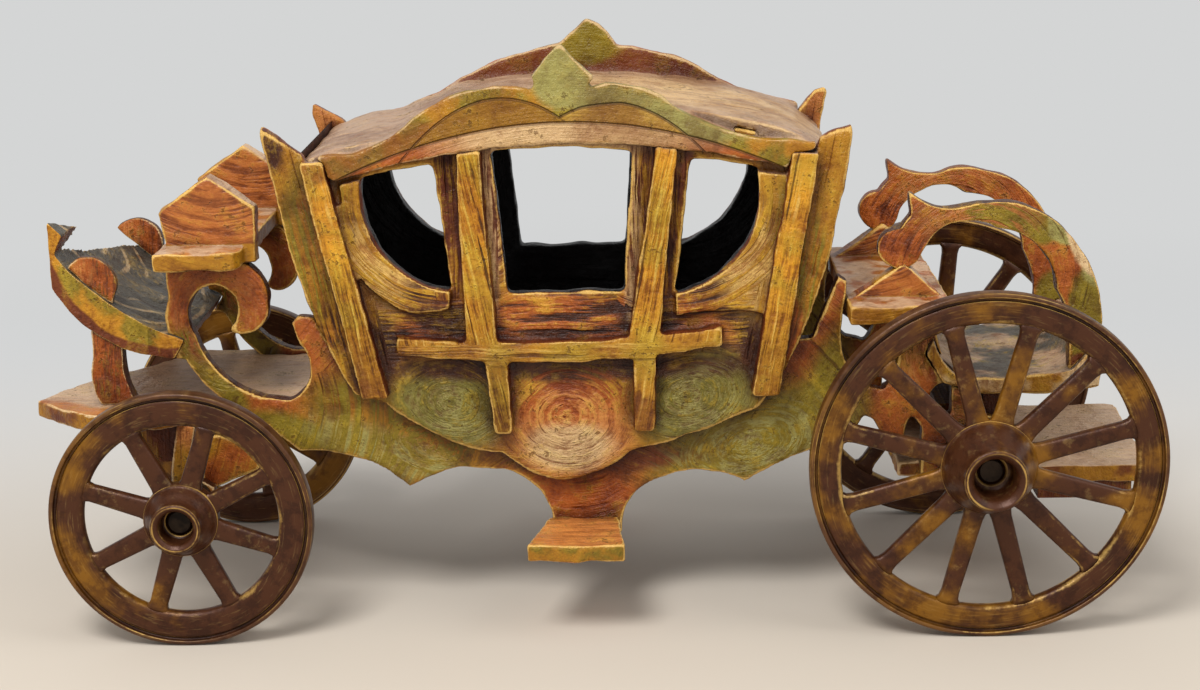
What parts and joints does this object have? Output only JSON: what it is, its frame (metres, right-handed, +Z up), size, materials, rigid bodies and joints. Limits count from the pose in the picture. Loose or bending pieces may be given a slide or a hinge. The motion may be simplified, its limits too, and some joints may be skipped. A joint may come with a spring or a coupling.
{
  "type": "toy stagecoach",
  "caption": "Table-top wooden stagecoach with an arched roof, carved scroll brackets, a driver's seat, a rear seat and spoked cast wheels that turn.",
  "frame": {"origin": "on the floor under the middle of the whole coach", "axes": "the coach faces -X, its left side is -Y, +Z is up and the wheels stand on z = 0"},
  "size_m": [0.583, 0.2424, 0.2985],
  "materials": {
    "apron_paint": "painted board, rust orange worn over green, combed",
    "scroll_paint": "painted board, rust orange, combed in arcs",
    "arm_paint": "painted board, olive green with worn pale edges",
    "panel_paint": "painted board, green streaked with brown",
    "gilt": "gold paint on wood, dark in the crevices",
    "fascia_paint": "painted board, verdigris green over pink",
    "roof_paint": "bare pinkish paint, worn pale at the edges",
    "seat_paint": "pinkish taupe top with a gold edge",
    "gable_paint": "rust orange, combed level",
    "slate_paint": "slate grey with cream swirls",
    "platform_paint": "taupe with wood grain",
    "under_paint": "dark rust brown",
    "inside_paint": "matt black",
    "wheel_bronze": "bronze paint, rubbed bright on the raised edges",
    "axle_iron": "dark iron"
  },
  "bodies": {
    "coach": {"roof_sheet": "roof_paint", "front_wall": "inside_paint", "rear_wall": "inside_paint", "cabin_floor": "inside_paint", "driver_seat": "seat_paint", "rear_seat": "seat_paint", "driver_gables": "gable_paint", "rear_gables": "gable_paint", "footboard": "slate_paint", "rear_footboard": "slate_paint", "footboard_posts": "under_paint", "footboard_cheeks": "gable_paint", "rear_posts": "under_paint", "front_platform": "platform_paint", "front_bolster": "under_paint", "rear_platform": "platform_paint", "rear_bearer": "under_paint", "rear_bolster": "under_paint", "front_axle": "axle_iron", "rear_axle": "axle_iron", "side_plate_left": "apron_paint", "side_plate_right": "apron_paint", "front_scroll_left": "scroll_paint", "front_scroll_right": "scroll_paint", "rear_scroll_left": "arm_paint", "rear_scroll_right": "arm_paint", "cabin_panel_left": "panel_paint", "cabin_panel_right": "panel_paint", "roof_fascia_left": "fascia_paint", "roof_fascia_right": "fascia_paint", "swan_arm_left": "arm_paint", "swan_arm_right": "arm_paint", "arm_post_left": "arm_paint", "arm_post_right": "arm_paint", "waist_rail_left": "gilt", "waist_rail_right": "gilt", "battens_left": "gilt", "battens_right": "gilt", "step_left": "platform_paint", "step_right": "platform_paint", "axle_hanger_left": "under_paint", "axle_hanger_right": "under_paint", "fan_bracket_left": "apron_paint", "fan_bracket_right": "apron_paint"},
    "front_wheel_left": {"front_wheel_left": "wheel_bronze"},
    "front_wheel_right": {"front_wheel_right": "wheel_bronze"},
    "rear_wheel_left": {"rear_wheel_left": "wheel_bronze"},
    "rear_wheel_right": {"rear_wheel_right": "wheel_bronze"}
  },
  "joints": [
    {"name": "front_wheel_left_spin", "type": "hinge", "parent": "coach", "child": "front_wheel_left", "pos_m": [-0.208, -0.09485, 0.0667], "axis": [0, 1, 0], "continuous": true},
    {"name": "front_wheel_right_spin", "type": "hinge", "parent": "coach", "child": "front_wheel_right", "pos_m": [-0.208, 0.09485, 0.0667], "axis": [0, 1, 0], "continuous": true},
    {"name": "rear_wheel_left_spin", "type": "hinge", "parent": "coach", "child": "rear_wheel_left", "pos_m": [0.1961, -0.09485, 0.089], "axis": [0, 1, 0], "continuous": true},
    {"name": "rear_wheel_right_spin", "type": "hinge", "parent": "coach", "child": "rear_wheel_right", "pos_m": [0.1961, 0.09485, 0.089], "axis": [0, 1, 0], "continuous": true}
  ]
}
